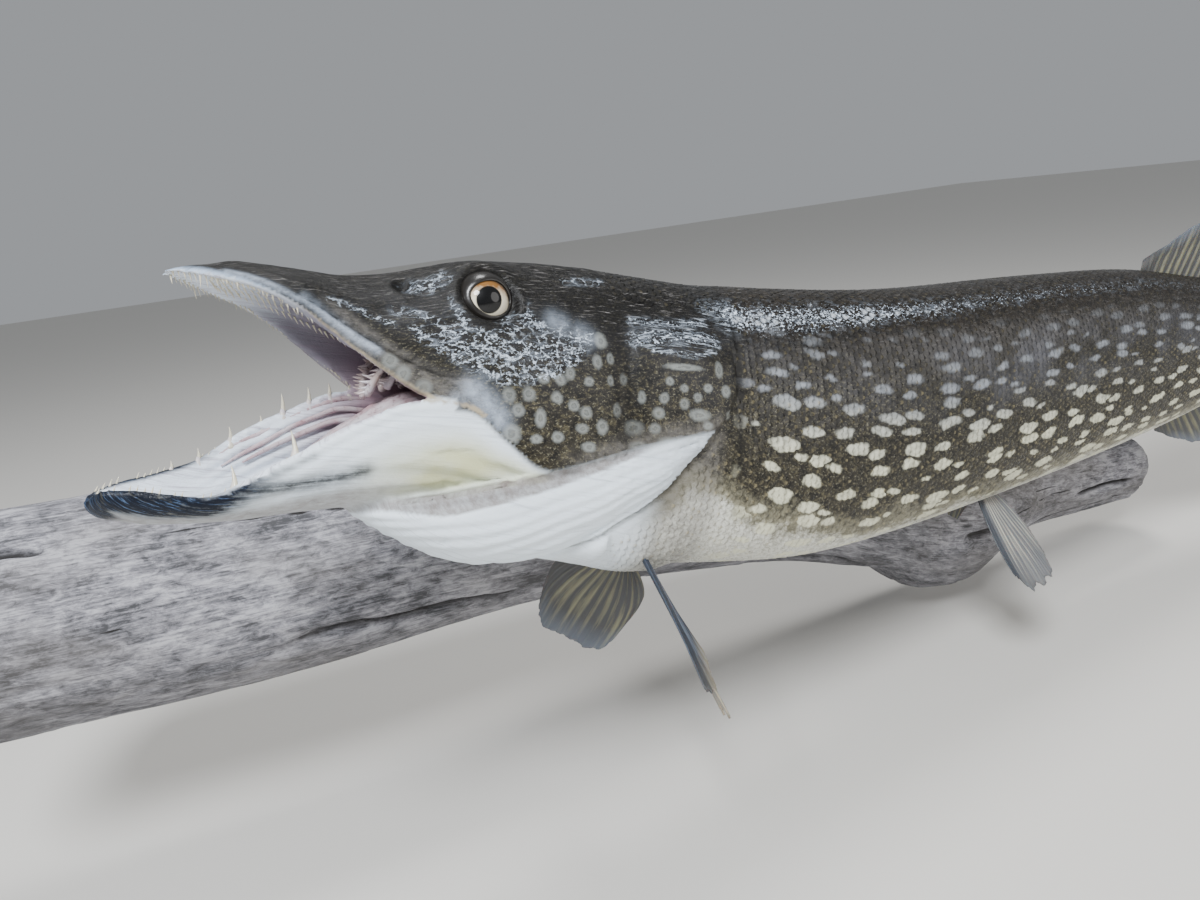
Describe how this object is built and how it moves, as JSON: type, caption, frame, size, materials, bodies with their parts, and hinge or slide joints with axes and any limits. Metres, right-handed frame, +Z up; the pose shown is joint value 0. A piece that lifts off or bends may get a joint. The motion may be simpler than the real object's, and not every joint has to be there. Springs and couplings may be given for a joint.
{
  "type": "mounted pike",
  "caption": "Life-size skin mount of a pike with its mouth open, bent along a weathered driftwood log that hangs flat against a wall",
  "frame": {"origin": "On the flat back of the driftwood log, about the middle of its length, where it bears on the wall", "axes": "+X from snout to tail along the wall, +Y into the wall, +Z up"},
  "size_m": [1.1409, 0.2729, 0.3297],
  "materials": {
    "skin": "varnished dark olive fish skin with pale spots",
    "jaw": "varnished pale skin, blue-black at the tip",
    "mouth": "painted mouth lining, dry satin",
    "membrane": "satin white skin with fine rays",
    "fin": "thin dry fin skin with rays",
    "eye": "painted glass eye, amber iris and black pupil",
    "driftwood": "weathered grey, open grain"
  },
  "bodies": {
    "root": {"head_upper": "skin", "jaw_lower": "jaw", "tongue": "mouth", "breast": "membrane", "eye_left": "eye", "eye_right": "eye", "gill_cover_left": "skin", "gill_cover_right": "skin", "gill_membrane_left": "membrane", "gill_membrane_right": "membrane", "pectoral_fin_left": "fin", "pectoral_fin_right": "fin", "pelvic_fin_left": "fin", "pelvic_fin_right": "fin", "trunk_front": "skin", "trunk_middle": "skin", "trunk_rear": "skin", "tail_stalk": "skin", "dorsal_fin": "fin", "anal_fin": "fin", "tail_fin": "fin", "driftwood": "driftwood"}
  },
  "joints": []
}
